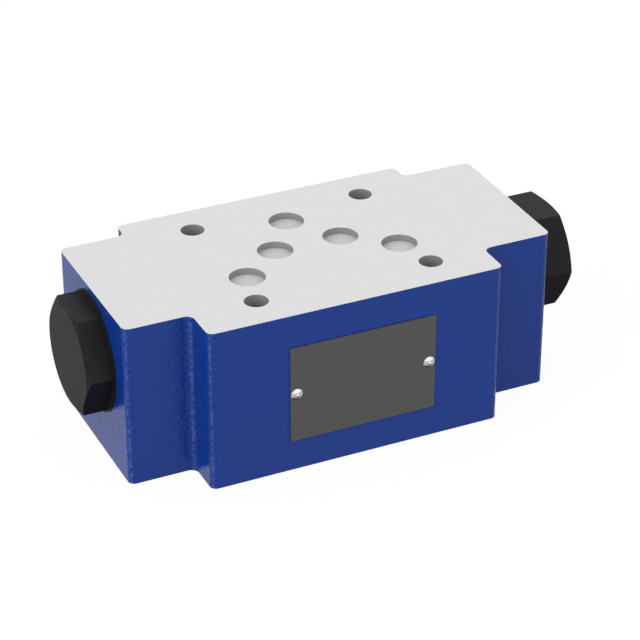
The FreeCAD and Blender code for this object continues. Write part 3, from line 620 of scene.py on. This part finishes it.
# %% [markdown]
# ## Camera
#
# The photograph's camera was worked out from the nine circles on the top face, whose pattern is
# standard. It stands 0.7 m away with a long lens, 25 degrees round to the left and 30 degrees
# up. A long lens keeps parallel edges nearly parallel, as product pictures want.

# %% Camera
EYE, TARGET = Vector((-0.25568, -0.55457, 0.37785)), Vector((0.00225, -0.00179, 0.0257))
LENS, FILM_WIDTH = 135.97, 36       # mm
camera = bpy.data.objects.new("camera", bpy.data.cameras.new("camera"))
bpy.context.scene.collection.objects.link(camera)
camera.data.lens, camera.data.sensor_width = LENS, FILM_WIDTH
camera.data.clip_start, camera.data.clip_end = 0.01, 20
camera.location = EYE
camera.rotation_mode = "QUATERNION"
camera.rotation_quaternion = (TARGET - EYE).to_track_quat("-Z", "Y")
bpy.context.scene.camera = camera
print("camera is", round((TARGET - EYE).length, 3), "m from the valve")

# %% [markdown]
# ## Floor, sky and lamps
#
# The valve stands on a pure white ground. Lighting the floor until it burns out would wash out
# the valve too, so white is given by ray instead: to the camera, and to mirror and glass rays,
# the sky glows white, and to all other rays it is a quiet studio. To the camera a tenth of the
# floor is plain diffuse, so the valve still drops a faint shadow, and the rest glows a little
# over white to make up for it. In the gloss on the valve's sides the floor's glow is a painted
# sheen: it glows bright where it is seen at a low angle. Straight below it is dark, a painted
# shade for the floor under the valve.

# %% Floor
def ray_kinds(tree):
    """1 for the camera's rays, and 1 for mirror and glass rays."""
    path = add_node(tree, "ShaderNodeLightPath").outputs
    gloss = add_node(tree, MATH, [path["Is Glossy Ray"], path["Is Transmission Ray"]], operation="MAXIMUM")
    return path["Is Camera Ray"], gloss


FLOOR_REACH, FLOOR_DROP = 4, 0.3 * MM       # metres to each side, and down from the base
GLOW_SHARE, GLOW = 0.9, 1.05                # to the camera
corners = [(x * FLOOR_REACH, y * FLOOR_REACH, 0) for x, y in ((-1, -1), (1, -1), (1, 1), (-1, 1))]
floor_mesh = bpy.data.meshes.new("floor")
floor_mesh.from_pydata(corners, [], [(0, 1, 2, 3)])
floor = bpy.data.objects.new("floor", floor_mesh)
floor.location.z = -FLOOR_DROP
bpy.context.scene.collection.objects.link(floor)
floor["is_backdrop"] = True

paper, tree = start_material("white_paper_floor")
to_camera, to_gloss = ray_kinds(tree)
matt = add_node(tree, "ShaderNodeBsdfDiffuse", {"Color": paint("#D0D0D0")})
# What mirror rays see of the floor is a glow graded by angle: a painted sheen at low angles, and painted
# shade straight below.
grazing = add_node(tree, "ShaderNodeLayerWeight", {"Blend": 0.5}).outputs["Facing"]
satin = add_node(tree, MAP_RANGE, {
    "Value": grazing, "From Min": 0.08, "From Max": 0.4, "To Min": 0.05, "To Max": 0.54})
white = add_node(tree, MATH, [to_camera, GLOW], operation="MULTIPLY")
strength = add_node(tree, MATH, [to_gloss, satin, white], operation="MULTIPLY_ADD")
glow = add_node(tree, "ShaderNodeEmission", {"Strength": strength})
share = add_node(tree, MATH, [to_camera, GLOW_SHARE], operation="MULTIPLY")
share = add_node(tree, MATH, [share, to_gloss], operation="MAXIMUM")
both = add_node(tree, "ShaderNodeMixShader", [share, matt, glow])
add_node(tree, "ShaderNodeOutputMaterial", {"Surface": both})
floor_mesh.materials.append(paper)
print("floor lies", FLOOR_DROP / MM, "mm below the base")

# %% [markdown]
# The sky asks the same two questions of a ray. It is pure white to the camera and in every
# gloss, and a fifth dimmer as the light that falls on the valve.

# %% Sky
SKY_LIGHT = 0.8
world = bpy.data.worlds.new("studio")
bpy.context.scene.world = world
world.use_nodes = True
tree = world.node_tree
tree.nodes.clear()
direct = add_node(tree, MATH, ray_kinds(tree), operation="MAXIMUM")
level = add_node(tree, MAP_RANGE, {"Value": direct, "To Min": SKY_LIGHT, "To Max": 1.0})
sky = add_node(tree, "ShaderNodeBackground", {"Color": (1, 1, 1, 1), "Strength": level})
add_node(tree, "ShaderNodeOutputWorld", {"Surface": sky})
print("sky light on the valve:", SKY_LIGHT)

# %% [markdown]
# Most of the light comes from the whole sky, as in a tent of white cloth. Two large soft lamps
# shape the valve. The main one stands on the left, the side where the end face is the palest,
# and a weaker one in front keeps the long front face readable. Ground iron would mirror the
# main one as a white flare from the other side, so it is left out of what the gloss mirrors. A
# small low lamp on the left does that work instead: it only gives the rounded edges a glint.
#
# The Standard view transform then shows a colour about as it is written.

# %% Lamps
LAMPS = (
    # name, place in metres, diameter in metres, watts, seen in gloss
    ("main_softbox", (-1.2, -0.3, 0.8), 0.9, 7, False),
    ("edge_lamp", (-1.12, -0.59, 0.16), 0.24, 1, True),
    ("front_softbox", (0.35, -1.3, 0.7), 0.8, 2, True),
)
for name, place, diameter, power, in_gloss in LAMPS:
    lamp = bpy.data.objects.new(name, bpy.data.lights.new(name, "AREA"))
    bpy.context.scene.collection.objects.link(lamp)
    lamp.data.shape, lamp.data.size, lamp.data.energy = "DISK", diameter, power
    lamp.location = place
    lamp.rotation_mode = "QUATERNION"
    lamp.rotation_quaternion = (TARGET - Vector(place)).to_track_quat("-Z", "Y")
    lamp.visible_glossy = in_gloss
    print(name, "gives", power, "W from", round((TARGET - Vector(place)).length, 2), "m")
bpy.context.scene.view_settings.view_transform = "Standard"

# %% [markdown]
# ## The dressed valve's box
#
# The dressed valve must fill the same box as the CAD model. Its box is worked out here over
# every piece that renders, leaving out the floor.

# %% Sizes and finish
low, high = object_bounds()
